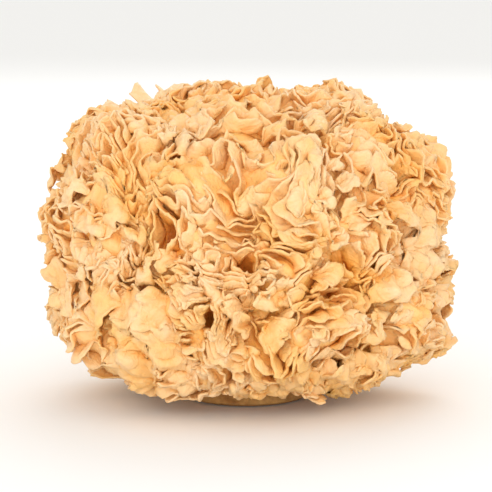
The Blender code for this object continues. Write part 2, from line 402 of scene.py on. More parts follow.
class Cluster:
    """One main fork of the head, and its share of the directions as a flat chart that touches the head."""

    def __init__(self, name, own, others, tilt, phase, place):
        self.name = name
        self.own = own
        self.phase = phase
        self.place = np.array([place * CHART_PITCH, 0.0])
        self.reach = float(envelope(own[None])[0])
        side = unit(np.cross(UP if abs(own[2]) < 0.9 else np.array([1.0, 0.0, 0.0]), own))
        up = np.cross(own, side)
        self.along = math.cos(tilt) * side + math.sin(tilt) * up
        self.across = np.cross(own, self.along)
        polygon = [np.array(p, float) for p in ((-1, -1), (1, -1), (1, 1), (-1, 1))]
        for other in others:
            apart = own - other
            normal = np.array([apart @ self.along, apart @ self.across])
            steepness = np.linalg.norm(normal)
            if steepness > TINY:
                inset = FISSURE / HEAD_WIDTH - apart @ own / steepness
                polygon = clipped(polygon, normal / steepness, inset)
        self.polygon = np.array(polygon) * self.reach

    def edges(self):
        """Start of each side of the chart, and the way to its end."""
        return [(a, self.polygon[(i + 1) % len(self.polygon)] - a) for i, a in enumerate(self.polygon)]

    def sides(self):
        """Inward normal and offset of each side of the chart, in its place among the charts."""
        made = []
        for a, way in self.edges():
            line = unit(way)
            inward = np.array([-line[1], line[0]])
            made.append([*inward, (a + self.place) @ inward])
        return made

    def inside(self, points):
        """How far inside the nearest side each point of the chart lies, less than 0 where it is outside."""
        return np.min([(points + self.place) @ np.array([x, y]) - o for x, y, o in self.sides()], axis=0)

    def border_distance(self, points):
        """Distance of points in the chart to the nearest side."""
        best = np.full(len(points), np.inf)
        for a, way in self.edges():
            line = unit(way)
            offset = points - a
            best = np.minimum(best, np.abs(offset[:, 0] * line[1] - offset[:, 1] * line[0]))
        return best

    def row_shape(self):
        """Where the rows of crests and furrows start and end, and their number."""
        low, high = self.polygon[:, 1].min(), self.polygon[:, 1].max()
        count = max(2, round((high - low) / CREST_SPACING))
        margin = ROW_MARGIN * (high - low)
        return low + margin, high - margin, 2 * count

    def ruffle(self, points):
        """How far the crest lines swing across at each point of the chart."""
        taper = 1 - np.exp(-self.border_distance(points) / RUFFLE_TAPER)
        return RUFFLE_SWING * taper * np.sin(2 * math.pi * points[:, 0] / RUFFLE_LENGTH + self.phase)

    def crest_share(self, points):
        """1 on the solid's crests and 0 in its furrows."""
        low, high, rows = self.row_shape()
        row = (points[:, 1] - self.ruffle(points) - low) / (high - low) * rows
        return (1 - np.cos(math.pi * row)) / 2

    def directions(self, points):
        flat = points / self.reach
        return bent(unit(self.own + flat[:, :1] * self.along + flat[:, 1:] * self.across))

    def chart_point(self, d):
        """Where a direction lies in the chart, or None if it is outside it."""
        plain = unbent(d[None])[0]
        share = plain @ self.own
        if share <= 0:
            return None
        point = np.array([plain @ self.along, plain @ self.across]) / share * self.reach
        return point if self.inside(point[None])[0] >= 0 else None

    def outer_radius(self, points):
        """Distance from the growth point to the solid's outer face, apart from its ruffles and pits."""
        d = self.directions(points)
        fall = EDGE_DROP * np.exp(-self.border_distance(points) / RUFFLE_TAPER)
        return envelope(d) * (1 + SWELL.at(d)[:, 0] - OUTLINE_WAVE) - fall + CREST_NOISE.at(d)[:, 0]


def mirrored_below_rim(d):
    return direction(2 * RIM_ANGLE - math.acos(d[2]), math.atan2(d[1], d[0]))


def clusters():
    """All clusters, from the crown outwards, as the part's own source draws them."""
    draw = np.random.default_rng(SEED)
    crown = [direction(CROWN_ANGLE, CROWN_AZIMUTH)]
    middle = ring(MIDDLE_COUNT, MIDDLE_ANGLE, draw)
    outer = ring(OUTER_COUNT, OUTER_ANGLE, draw)
    seeds = crown + middle + outer
    names = ["crown_frond"]
    names += [f"middle_frond_{i + 1}" for i in range(MIDDLE_COUNT)]
    names += [f"outer_frond_{i + 1}" for i in range(OUTER_COUNT)]
    below = [mirrored_below_rim(d) for d in outer]
    made = []
    for i, (name, own) in enumerate(zip(names, seeds)):
        others = seeds[:i] + seeds[i + 1 :] + below
        tilt = draw.uniform(0, math.pi)
        phase = draw.uniform(0, 2 * math.pi)
        made.append(Cluster(name, own, others, tilt, phase, i))
    return made


def first_lines(cluster, draw):
    """Short bent lines, scattered over the chart at random angles, that a cluster's sheets start from."""
    low, high = cluster.polygon.min(axis=0), cluster.polygon.max(axis=0)
    lines, taken = [], np.zeros((0, 2))
    for _ in range(SEED_TRIES):
        middle = draw.uniform(low, high)
        angle = draw.uniform(0, 2 * math.pi)
        long = draw.uniform(*SEED_LENGTH)
        bend = draw.normal(scale=SEED_BEND)
        s = np.linspace(-0.5, 0.5, max(4, round(long / LINK)))
        turned = angle + bend * s
        line = np.cumsum(np.column_stack([np.cos(turned), np.sin(turned)]), axis=0) * long / len(s)
        line += middle - line.mean(axis=0)
        if cluster.inside(line).min() < SEED_INSET:
            continue
        if len(taken) and length(line[:, None] - taken).min() < SEED_GAP:
            continue
        taken = np.vstack([taken, line])
        lines.append(line + cluster.place)
    return lines


def close_pairs(points, reach):
    """Index pairs of points closer than reach, each pair once."""
    cell = np.floor(points / reach).astype(np.int64)
    cell -= cell.min(axis=0)
    width = int(cell[:, 1].max()) + 3
    key = (cell[:, 0] + 1) * width + cell[:, 1] + 1
    order = np.argsort(key, kind="stable")
    ordered = key[order]
    firsts, seconds = [], []
    for offset in (0, 1, width - 1, width, width + 1):
        start = np.searchsorted(ordered, key + offset, "left")
        count = np.searchsorted(ordered, key + offset, "right") - start
        i = np.repeat(np.arange(len(points)), count)
        within = np.arange(len(i)) - np.repeat(np.cumsum(count) - count, count)
        j = order[np.repeat(start, count) + within]
        if offset == 0:
            i, j = i[i < j], j[i < j]
        d = points[i] - points[j]
        near = (d * d).sum(axis=1) < reach * reach
        firsts.append(i[near])
        seconds.append(j[near])
    return np.concatenate(firsts), np.concatenate(seconds)


def line_moves(points, joined, link, run):
    """The moves that keep the links at their length and ease the lines' bends."""
    wrong = np.where(joined, (run - LINK) * LINK_PULL, 0)[:, None]
    pull = wrong * link / np.maximum(run, TINY)[:, None]
    move = np.zeros_like(points)
    move[:-1] += pull
    move[1:] -= pull
    inner = (joined[1:] & joined[:-1])[:, None]
    move[1:-1] += np.where(inner, EASING * ((points[2:] + points[:-2]) / 2 - points[1:-1]), 0)
    return move


def push_apart(move, points, a, b, patchy):
    """Add to the moves what keeps the points a clear of the points b."""
    count = len(points)
    apart = points[a] - points[b]
    distance = np.sqrt((apart * apart).sum(axis=1))
    local = CLEARANCE * (1 + patchy.at(np.column_stack([points, np.zeros(count)]))[:, 0])
    wanted = (local[a] + local[b]) / 2
    weight = np.maximum(0, (wanted - distance) / wanted) * CLEARANCE_PUSH * MM
    force = apart * (weight / np.maximum(distance, TINY))[:, None]
    for axis in (0, 1):
        move[:, axis] += np.bincount(a, force[:, axis], count) - np.bincount(b, force[:, axis], count)


def push_off_pits(move, points, pits):
    """Add to the moves what keeps the points out of the pits."""
    for pit in pits:
        away = points - pit
        far = length(away)
        push = np.maximum(0, PIT_CLEARANCE - far) * PIT_PUSH
        move += away / np.maximum(far, TINY)[:, None] * push[:, None]


def push_inside(move, points, own):
    """Add to the moves what keeps each point inside its own chart's sides."""
    depth = (own[:, :, :2] * (points + move)[:, None, :]).sum(axis=2) - own[:, :, 2]
    move += (np.maximum(0, BORDER_ROOM - depth)[:, :, None] * own[:, :, :2]).sum(axis=1)


def grown(lines, owner, sides, pits):
    """Grow the lines until they fill their charts. Returns each point's line, and its place at each stage."""
    draw = np.random.default_rng(SEED + 20)
    patchy = Waves(SEED + 21, 10, 2 * math.pi / 0.020, CLEARANCE_SWING)
    points = np.vstack(lines)
    line = np.concatenate([np.full(len(s), i) for i, s in enumerate(lines)])
    marks = set(np.round(np.linspace(0, STEPS, STAGES)).astype(int).tolist())
    stages = []
    stale = True
    for step in range(STEPS + 1):
        if step in marks:
            stages.append(points.copy())
        joined = line[1:] == line[:-1]
        link = points[1:] - points[:-1]
        run = length(link)
        move = line_moves(points, joined, link, run)
        if stale or step % PAIR_STEPS == 0:
            a, b = close_pairs(points, CLEARANCE * PAIR_REACH)
            linked = (line[a] == line[b]) & (np.abs(a - b) <= 2)
            a, b = a[~linked], b[~linked]
            stale = False
        push_apart(move, points, a, b, patchy)
        push_off_pits(move, points, pits)
        push_inside(move, points, sides[owner[line]])
        move *= np.minimum(1, LARGEST_MOVE / np.maximum(length(move), TINY))[:, None]
        points = points + move + draw.normal(scale=JITTER, size=points.shape)
        if step < STEPS - SETTLING and step % 2 == 0:
            lucky = draw.random(len(run)) < SPLIT_CHANCE
            split = joined & ((run > LONG_LINK * LINK) | ((run > FAIR_LINK * LINK) & lucky))
            at = np.nonzero(split)[0] + 1
            if len(at):
                stale = True
                points = np.insert(points, at, (points[at - 1] + points[at]) / 2, axis=0)
                line = np.insert(line, at, line[at])
                stages = [np.insert(s, at, (s[at - 1] + s[at]) / 2, axis=0) for s in stages]
    return line, np.array(stages)


def smoothed(points, joined, times):
    """Points moved half way to the middle of their neighbours along the line, so many times."""
    inner = (joined[1:] & joined[:-1])[:, None]
    for _ in range(times):
        eased = points.copy()
        middle = (points[2:] + points[:-2]) / 2
        eased[1:-1] += np.where(inner, 0.5 * (middle - points[1:-1]), 0)
        points = eased
    return points


def resampled(line, stages):
    """The same lines with points spaced by length and turn, denser where they bend."""
    new_line, new_stages = [], []
    for one in np.unique(line):
        chosen = np.nonzero(line == one)[0]
        if len(chosen) < LINE_POINTS:
            continue
        own = stages[:, chosen]
        last = smoothed(own[-1], np.ones(len(chosen) - 1, bool), 3)
        link = np.diff(last, axis=0)
        angle = np.unwrap(np.arctan2(link[:, 1], link[:, 0]))
        turn = np.abs(np.diff(angle))
        cost = length(link) / POINT_STEP
        cost[1:] += turn / 2 / TURN_STEP
        cost[:-1] += turn / 2 / TURN_STEP
        run = np.concatenate([[0], np.cumsum(cost)])
        count = max(LINE_POINTS, int(round(run[-1])) + 1)
        place = np.interp(np.linspace(0, run[-1], count), run, np.arange(len(chosen)))
        low = np.minimum(place.astype(int), len(chosen) - 2)
        part = (place - low)[None, :, None]
        new_stages.append(own[:, low] * (1 - part) + own[:, low + 1] * part)
        new_line.append(np.full(count, one))
    return np.concatenate(new_line), np.concatenate(new_stages, axis=1)


def stage_at(stages, time):
    """Where the points were at a time in the growth, which runs from 0 to 1."""
    place = time * (len(stages) - 1)
    low = min(int(place), len(stages) - 2)
    return stages[low] + (stages[low + 1] - stages[low]) * (place - low)


def stalk_radius(cluster, points):
    """Distance from the growth point to the top of a cluster's stalk."""
    d = cluster.directions(points)
    off = pit_distance(d)
    hole = STALK_PIT * PIT_DEPTH * np.exp(-((off / PIT_RADIUS) ** 2))
    return cluster.outer_radius(points) - STALK_DEPTH - STALK_LUMPS.at(d)[:, 0] - hole


def margin_radius(cluster, points, places, roots):
    """Distance from the growth point to the sheets' margins, which are notched and lie lower in places."""
    d = cluster.directions(points)
    near_side = np.exp(-cluster.border_distance(points) / RUFFLE_TAPER)
    top = cluster.outer_radius(points) + SIDE_FILL * EDGE_DROP * near_side
    top -= FURROW_DROP * (1 - cluster.crest_share(points))
    top -= NOTCH_DROP * np.maximum(0, NOTCHES.at(places)[:, 0] + 0.2)
    top -= BROAD_NOTCH_DROP * np.maximum(0, BROAD_NOTCHES.at(places)[:, 0])
    top -= FINE_NOTCH_DROP * np.abs(FINE_NOTCHES.at(places)[:, 0])
    top -= SINK * covered(d, roots)
    top -= PIT_DROP * np.exp(-((pit_distance(d) / PIT_RADIUS) ** 2))
    return top


def line_normals(points, joined):
    """The unit vector square to each line at each of its points, in the chart."""
    along = np.zeros_like(points)
    along[1:-1] = points[2:] - points[:-2]
    along[0], along[-1] = points[1] - points[0], points[-1] - points[-2]
    ends = np.nonzero(~joined)[0]
    along[ends] = points[ends] - points[ends - 1]
    along[ends + 1] = points[np.minimum(ends + 2, len(points) - 1)] - points[ends + 1]
    return unit(np.column_stack([-along[:, 1], along[:, 0]]))


def sheet_points(cluster, stages, joined, roots):
    """Middle surfaces of a cluster's sheets, layer by layer, with each point's depth and edge distance."""
    last = smoothed(stages[-1], joined, 1)
    d = cluster.directions(last)
    outer = cluster.outer_radius(last)
    places = outer[:, None] * d
    top = margin_radius(cluster, last, places, roots)
    foot = np.minimum(stalk_radius(cluster, last) - FOOT_SINK, top - LEAST_HEIGHT)
    normal = line_normals(last, joined)
    across = normal[:, :1] * cluster.along + normal[:, 1:] * cluster.across
    off = pit_distance(d)
    free = 1 - np.exp(-((off / (PIT_CALM * PIT_RADIUS)) ** 4))
    curl = ((CURL.at(places) * across).sum(axis=1) + ROLL_SHARE * ROLL.at(places)[:, 0]) * free
    lean = LEAN.at(places) * free[:, None]
    lean -= (lean * d).sum(axis=1, keepdims=True) * d
    made, depth, edge = [], [], []
    for share in LAYER_SHARES:
        flat = smoothed(stage_at(stages, 0.5 + 0.5 * share), joined, 1)
        radius = foot + (top - foot) * share
        near_top = np.maximum(0, 1 - (top - radius) / CURL_HEIGHT) ** 1.8
        flat = flat + normal * (curl * near_top)[:, None]
        lower = CURL_LOSS * np.abs(curl) * near_top
        p = cluster.directions(flat) * (radius - lower)[:, None] + lean * share**1.5
        p += CRUMPLE.at(p) + FINE_CRUMPLE.at(p)
        made.append(p + UP * GROWTH_HEIGHT)
        # painted shade in and round the pits, less towards the margins
        depth.append(outer - radius + pit_shade(off) * (1 - 0.6 * share))
        edge.append(top - radius)
    return np.array(made), np.array(depth), np.array(edge)


def clear_of(d, others, room):
    """Whether a direction is further than room over the head from all the others."""
    return all(np.linalg.norm(d - other) > room / (HEAD_WIDTH / 2) for other in others)


def bare_places(cluster, points, draw):
    """Places in the chart that its lines leave bare, the barest first."""
    low, high = cluster.polygon.min(axis=0), cluster.polygon.max(axis=0)
    tried = draw.uniform(low, high, size=(BARE_TRIES, 2))
    tried = tried[cluster.inside(tried) > BARE_INSET]
    room = length(tried[:, None] - points).min(axis=1)
    return [tried[i] for i in np.argsort(-room) if room[i] > BARE_ROOM]


def border_places(cluster, draw):
    places = []
    for a, way in cluster.edges():
        count = round(np.linalg.norm(way) / BORDER_SPACING)
        shares = (np.arange(count) + draw.uniform(0.2, 0.8, count)) / max(count, 1)
        places += [a + way * share for share in shares]
    return places


def fill_places(cluster, points, placed, draw):
    """Directions for small fronds: what a cluster's lines leave bare, and its sides, apart from the pits."""
    tried = bare_places(cluster, points, draw) + border_places(cluster, draw)
    chosen = []
    for d in cluster.directions(np.array(tried)):
        if pit_distance(d[None])[0] >= FILL_PIT_ROOM and d[2] >= FILL_LOWEST:
            if clear_of(d, placed + chosen, FILL_SPACING):
                chosen.append(d)
    return chosen


def flake_roots(draw):
    """Directions and sizes of the broad fronds: many in the smooth regions, a few small ones elsewhere."""
    roots = []
    for d in unit(draw.normal(size=(FLAKE_TRIES, 3))):
        size, room = STRAY_SIZE, STRAY_SPACING
        if smoothness(d[None])[0] > 0.5:
            nearest = int(np.argmin(length(SMOOTH_DIRECTIONS - d) / SMOOTH_RADII))
            size = SMOOTH_SPOTS[nearest][3]
            room = FLAKE_SPACING * size
        if d[2] >= FLAKE_LOWEST and pit_distance(d[None])[0] >= FLAKE_PIT_ROOM * size:
            if clear_of(d, [root for root, _ in roots], room):
                roots.append((d, size))
    return roots


def covered(d, roots):
    """1 where a broad frond lies over a direction, falling to 0 beside it."""
    best = np.zeros(len(d))
    for root, size in roots:
        off = length(d - root) * HEAD_WIDTH / 2 / (COVER_RADIUS * size)
        best = np.maximum(best, np.exp(-(off**4)))
    return best


def sines(draw, t, swings, rates):
    """Sum of one sine wave of t for each rate, with swings and phases by chance."""
    return sum(draw.uniform(*swings) * np.sin(t * rate + draw.uniform(0, 2 * math.pi)) for rate in rates)


def lie(d, draw):
    """The way that a broad frond lies over from its root, and the way across it."""
    chance, outwards, down = LAY_SHARES
    way = LAY_WAY.at(d[None])[0] * chance + np.array([outwards * np.sign(d[0]), 0, -down])
    way = unit(way - (way @ d) * d)
    side = np.cross(d, way)
    turn = draw.normal(scale=LAY_TURN)
    return math.cos(turn) * way + math.sin(turn) * side, math.cos(turn) * side - math.sin(turn) * way


def flake_height(size, rise, across, angle, places, draw):
    """How far the points of a broad frond lie above the outline, in rows that rise to its margin."""

    def field(waves):
        return waves.at(places)[:, 0].reshape(angle.shape)

    droop, tilt = size * draw.uniform(*DROOP) * MM, draw.normal(scale=TILT) * MM
    calm = min(1, 0.25 + 0.75 * size)
    height = -ROOT_DROP * (1 - rise) ** 3 - SLOPE_DROP * (1 - rise) - FLAKE_DROP
    height = height - droop * across**2 * rise + tilt * across * rise
    height = height + calm * field(FLAKE_WAVE) * rise**1.5 + calm * field(FLAKE_RUFFLE) * rise**2.5
    height = height - SMALL_DROP * max(0, 0.8 - size)
    folds = angle * draw.uniform(*FOLD_RATE) + 1.6 * np.sin(angle * 5.0 + draw.uniform(0, 2 * math.pi))
    height = height + FOLD_HEIGHT * np.sin(folds) * rise**1.5
    roll = np.maximum(0, rise - ROLL_START) / (1 - ROLL_START)
    return height + field(ROLL) * roll**2 - ROLL_DROP * roll**2


def flake(d, size, draw):
    """A broad frond as one sheet, a fan that rises from the stalk and lies over."""
    way, side = lie(d, draw)
    long, fan = size * draw.uniform(*FLAKE_LENGTH), draw.uniform(*FLAKE_HALF_FAN)
    across = np.linspace(-1, 1, max(FEWEST_POINTS, round(FLAKE_POINTS * size)))
    rise = np.linspace(FLAKE_START, 1, max(FEWEST_ROWS, round(FLAKE_ROWS * size)))[:, None] ** 0.85
    lobes, fringes = sines(draw, across * fan, *LOBES), sines(draw, across, *FRINGES)
    reach = long * (1 - SIDE_LOSS * np.abs(across) ** 3.2 + lobes - np.abs(fringes))
    out = rise * reach
    angle = np.broadcast_to(across * fan, out.shape)
    forward, sideways = out * np.cos(angle) - 0.5 * long, out * np.sin(angle)
    to = unit(d + (forward[:, :, None] * way + sideways[:, :, None] * side) / float(envelope(d[None])[0]))
    flat = to.reshape(-1, 3)
    outer = envelope(flat) * (1 + SWELL.at(flat)[:, 0] - OUTLINE_WAVE)
    places = flat * outer[:, None]
    height = flake_height(size, rise, across, angle, places, draw)
    p = to * (outer.reshape(out.shape) + height)[:, :, None]
    coarse, fine = FLAKE_CRUMPLES
    p = p + (coarse * CRUMPLE.at(places) + fine * FINE_CRUMPLE.at(places)).reshape(p.shape)
    to_margin = np.minimum((1 - rise) * reach, (1 - np.abs(across)) * fan * out)
    return p + UP * GROWTH_HEIGHT, np.maximum(0, -height), to_margin / FLAKE_FADE


def owner_of(whole, d):
    """Number of the cluster in whose share a direction lies."""
    plain = unbent(d[None])[0]
    return int(np.argmax([plain @ cluster.own for cluster in whole]))


def sheet_arrays(sheets, total):
    """Closed two-sided sheets: vertices, numbered from total on, faces, depths and edge distances."""
    vertices, faces, depths, edges = [], [], [], []
    for p, depth, to_edge in sheets:
        normal = unit(sheet_normal(p))
        swell = 1 - np.exp(-to_edge / MARGIN_TAPER)
        thick = MARGIN_THICKNESS + (SHEET_THICKNESS - MARGIN_THICKNESS) * swell
        half = normal * thick[:, :, None] / 2
        layers, m = to_edge.shape
        front = np.arange(layers * m).reshape(layers, m) + total
        back = front + layers * m
        vertices += [(p + half).reshape(-1, 3), (p - half).reshape(-1, 3)]
        inward = -(normal * unit(p - UP * GROWTH_HEIGHT)).sum(axis=2)
        # painted shade: each sheet's side that faces inwards is coloured as if it lay deeper
        depths += [(depth + UNDERSIDE_SHADE * np.maximum(0, inward * side)).reshape(-1) for side in (1, -1)]
        edges += [to_edge.reshape(-1)] * 2
        faces.append(quads(front))
        faces.append(quads(back)[:, ::-1])
        rims = [(front[-1], back[-1]), (back[0], front[0])]
        rims += [(back[:, -1], front[:, -1]), (front[:, 0], back[:, 0])]
        for f, g in rims:
            faces.append(np.stack([f[:-1], f[1:], g[1:], g[:-1]], axis=1))
        total += 2 * layers * m
    return np.vstack(vertices), np.vstack(faces), np.concatenate(depths), np.concatenate(edges)


def quads(grid):
    """The faces of a grid of vertex numbers."""
    return np.stack([grid[:-1, :-1], grid[:-1, 1:], grid[1:, 1:], grid[1:, :-1]], axis=2).reshape(-1, 4)


def chart_reach(cluster, middle, way):
    """Distance along each way from the middle of a chart to a little past its sides."""
    reach = np.full(len(way), np.inf)
    for x, y, offset in cluster.sides():
        slope = way @ np.array([x, y])
        room = (middle + cluster.place) @ np.array([x, y]) - offset
        reach = np.where(slope < -TINY, np.minimum(reach, room / np.maximum(-slope, TINY)), reach)
    return reach + STALK_REACH


def stalk_top(cluster, middle, way, reach):
    """Rings of points over a stalk's folded top, and their depths."""
    rows, depths = [], []
    for k in range(STALK_RINGS):
        share = (k + STALK_HUB) / (STALK_RINGS - 1 + STALK_HUB)
        flat = middle + way * (reach * share)[:, None]
        d = cluster.directions(flat)
        radius = stalk_radius(cluster, flat) - STALK_ROUND * share**8
        top = d * radius[:, None]
        top += unit(top) * (STALK_FOLDS.at(top) * min(1, 6 * share * (1 - share)))
        rows.append(top)
        # painted shade in and round the pits
        depths.append(cluster.outer_radius(flat) - radius + pit_shade(pit_distance(d)))
    return rows, depths


def stalk_side(cluster, middle, way, reach):
    """Rings of points down a stalk's pleated side to the base, and their depths."""
    border = middle + way * reach[:, None]
    d = cluster.directions(border)
    start = stalk_radius(cluster, border) - STALK_ROUND
    rows, depths = [], []
    for share in np.arange(1, STALK_STEPS + 1) / STALK_STEPS:
        pleat = PLEATS.at(d + 0.12 * share)[:, 0] * math.sin(math.pi * share) ** 0.5
        flat = middle + way * (reach * (1 - np.abs(pleat) * STALK_PLEAT))[:, None]
        radius = start + (ROOT_RADIUS - start) * share
        rows.append(cluster.directions(flat) * radius[:, None])
        depths.append(np.full(STALK_RAYS, STALK_SHADE * (1 + share)))
    hub = 0.1 * MM * way @ np.array([cluster.along, cluster.across])
    rows.append(cluster.directions(middle[None]) * ROOT_RADIUS + hub)
    return rows, depths + depths[-1:]


def stalk_arrays(cluster):
    """The thick stalk under a cluster's sheets: its vertices, faces and depths."""
    middle = cluster.polygon.mean(axis=0)
    angle = np.linspace(0, 2 * math.pi, STALK_RAYS, endpoint=False)
    way = np.column_stack([np.cos(angle), np.sin(angle)])
    reach = chart_reach(cluster, middle, way)
    rows, depths = stalk_top(cluster, middle, way, reach)
    more_rows, more_depths = stalk_side(cluster, middle, way, reach)
    rows, depths = rows + more_rows, depths + more_depths
    grid = np.arange(len(rows) * STALK_RAYS).reshape(len(rows), STALK_RAYS)
    ends = [grid[0].tolist(), grid[-1, ::-1].tolist()]
    sides = quads(np.column_stack([grid, grid[:, 0]]))[:, ::-1].tolist()
    return np.vstack(rows) + UP * GROWTH_HEIGHT, sides + ends, np.concatenate(depths)


class Crowding:
    """How much tissue lies round each place of the head, in cells, and how much of the light it keeps out."""

    def __init__(self, whole):
        places = np.vstack([p.reshape(-1, 3) for sheets in whole for p, _, _ in sheets])
        area = np.concatenate([length(sheet_normal(p)).reshape(-1) for sheets in whole for p, _, _ in sheets])
        self.low = places.min(axis=0) - 3 * CELL
        cell = self.cell(places)
        self.shape = cell.max(axis=0) + 4
        flat = np.ravel_multi_index(cell.T, self.shape)
        self.tissue = np.bincount(flat, area / CELL**2, int(np.prod(self.shape))).reshape(self.shape)

    def cell(self, places):
        return np.floor((places - self.low) / CELL).astype(int)

    def dimmed(self, places, normals):
        """0 where light reaches a place freely from the side of its normal, towards 1 where little light
        reaches it: painted shade.
        """
        turns = np.arange(RAY_COUNT) + 0.5
        height = 1 - 2 * turns / RAY_COUNT
        flat = np.sqrt(1 - height**2)
        angle = math.pi * (1 + math.sqrt(5)) * turns
        light, most = np.zeros(len(places)), np.full(len(places), TINY)
        for ray in np.column_stack([flat * np.cos(angle), flat * np.sin(angle), height]):
            facing = np.maximum(0, normals @ ray)
            passed = np.zeros(len(places))
            for step in range(RAY_STEPS):
                cell = np.clip(self.cell(places + ray * (step + RAY_START) * CELL), 0, self.shape - 1)
                passed += self.tissue[cell[:, 0], cell[:, 1], cell[:, 2]]
            light += facing * np.exp(-DIMMING * passed)
            most += facing
        return 1 - light / most


def sheet_normal(p):
    """Normals of a grid of points, as long as the area that each point stands for."""
    return np.cross(np.gradient(p, axis=1), np.gradient(p, axis=0))


def frond_piece(cluster, sheets, crowding):
    """One cluster as a piece: its stalk with all its sheets."""
    stalk, stalk_faces, stalk_depth = stalk_arrays(cluster)
    vertices, faces, depths, edges = sheet_arrays(sheets, len(stalk))
    mesh = bpy.data.meshes.new(f"{cluster.name}_sheets")
    mesh.from_pydata(np.vstack([stalk, vertices]), [], stalk_faces + faces.tolist())
    mesh.shade_smooth()
    store(mesh, "depth", np.concatenate([stalk_depth, depths]))
    store(mesh, "edge", np.concatenate([np.full(len(stalk), STALK_EDGE), edges]))
    places, normals = np.zeros(len(mesh.vertices) * 3), np.zeros(len(mesh.vertices) * 3)
    mesh.vertices.foreach_get("co", places)
    mesh.vertices.foreach_get("normal", normals)
    # painted shade: how little light reaches each vertex through the crowded sheets
    store(mesh, "painted_shade", crowding.dimmed(places.reshape(-1, 3), normals.reshape(-1, 3)))
    return added(mesh.name, mesh)


def added(name, data):
    made = bpy.data.objects.new(name, data)
    bpy.context.scene.collection.objects.link(made)
    return made


def store(mesh, label, values):
    attribute = mesh.attributes.new(label, "FLOAT", "POINT")
    attribute.data.foreach_set("value", values.astype(np.float32))


def base_outline():
    """Radius and height of points spaced evenly along the foot's outline, from its cut to its top."""
    profile = [(r * BASE_CUT_RADIUS, z) for r, z in CUT_PROFILE]
    profile += [(r * BASE_NECK_RADIUS, z) for r, z in NECK_PROFILE]
    for angle in np.linspace(0, math.pi / 2, DOME_POINTS):
        profile.append((BASE_TOP_RADIUS * math.cos(angle), GROWTH_HEIGHT + BASE_TOP_RADIUS * math.sin(angle)))
    profile = np.array(profile)
    run = np.concatenate([[0], np.cumsum(length(np.diff(profile, axis=0)))])
    fine = np.linspace(0, run[-1], BASE_ROWS)
    return np.interp(fine, run, profile[:, 0]), np.interp(fine, run, profile[:, 1])


def base_piece():
    """The hard foot: flat where it was cut, lumpy at its side, round on top."""
    radius, height = base_outline()
    angle = np.linspace(0, 2 * math.pi, BASE_SEGMENTS, endpoint=False)
    round_ways = np.column_stack([np.cos(angle), np.sin(angle), np.zeros(BASE_SEGMENTS)])
    p = (radius[:, None, None] * round_ways + height[:, None, None] * UP).reshape(-1, 3)
    out = unit(p * np.array([1, 1, 0]) + TINY * UP)
    lumps = np.abs(BASE_LUMPS.at(p)) + np.abs(BASE_GRAIN.at(p))
    p = p - out * lumps * np.clip(p[:, 2:] / CUT_ROOM, 0, 1)
    grid = np.arange(len(p)).reshape(BASE_ROWS, BASE_SEGMENTS)
    mesh = bpy.data.meshes.new("callus_base")
    mesh.from_pydata(p, [], quads(np.column_stack([grid, grid[:, 0]])).tolist())
    joined = bmesh.new()
    joined.from_mesh(mesh)
    bmesh.ops.remove_doubles(joined, verts=joined.verts, dist=1e-6)
    bmesh.ops.recalc_face_normals(joined, faces=joined.faces)
    joined.to_mesh(mesh)
    joined.free()
    mesh.shade_smooth()
    return added("callus_base", mesh)


class Nodes:
    """Short calls that add nodes to a material and link them."""

    def __init__(self, name):
        self.material = bpy.data.materials.new(name)
        self.material.use_nodes = True
        self.tree = self.material.node_tree
        self.shader = self.tree.nodes["Principled BSDF"]

    def add(self, kind, inputs=None, **settings):
        node = self.tree.nodes.new(kind)
        for key, value in settings.items():
            setattr(node, key, value)
        for key, value in (inputs or {}).items():
            self.set(node.inputs[key], value)
        return node

    def set(self, socket, value):
        if isinstance(value, bpy.types.NodeSocket):
            self.tree.links.new(value, socket)
        else:
            socket.default_value = value

    def noise(self, place, scale, detail=3.0, roughness=0.6, distortion=0.0):
        inputs = {"Vector": place, "Scale": scale, "Detail": detail, "Roughness": roughness}
        return self.add("ShaderNodeTexNoise", {**inputs, "Distortion": distortion}).outputs["Fac"]

    def math(self, operation, a, b=0.0):
        node = self.add("ShaderNodeMath", operation=operation)
        self.set(node.inputs[0], a)
        self.set(node.inputs[1], b)
        return node.outputs[0]

    def span(self, value, low, high, to_low=0.0, to_high=1.0):
        inputs = {"Value": value, "From Min": low, "From Max": high, "To Min": to_low, "To Max": to_high}
        return self.add("ShaderNodeMapRange", inputs, clamp=True).outputs["Result"]

    def mix(self, factor, a, b, blend="MIX"):
        node = self.add("ShaderNodeMix", data_type="RGBA", blend_type=blend)
        self.set(node.inputs[0], factor)
        self.set(node.inputs[6], a)
        self.set(node.inputs[7], b)
        return node.outputs[2]

    def ramp(self, value, stops):
        node = self.add("ShaderNodeValToRGB", {"Fac": value})
        while len(node.color_ramp.elements) < len(stops):
            node.color_ramp.elements.new(0.5)
        for element, (place, colour) in zip(node.color_ramp.elements, stops):
            element.position = place
            element.color = (*colour, 1)
        return node.outputs["Color"]

    def attribute(self, name):
        return self.add("ShaderNodeAttribute", attribute_name=name).outputs["Fac"]

    def finish(self, strength=0.0, height=None, **values):
        """Set the shader's inputs by name, with an underscore for each space, and its bump."""
        for key, value in values.items():
            self.set(self.shader.inputs[key.replace("_", " ")], value)
        if height is not None:
            bump = self.add("ShaderNodeBump", {"Strength": strength, "Distance": 0.0006, "Height": height})
            self.set(self.shader.inputs["Normal"], bump.outputs["Normal"])
        return self.material


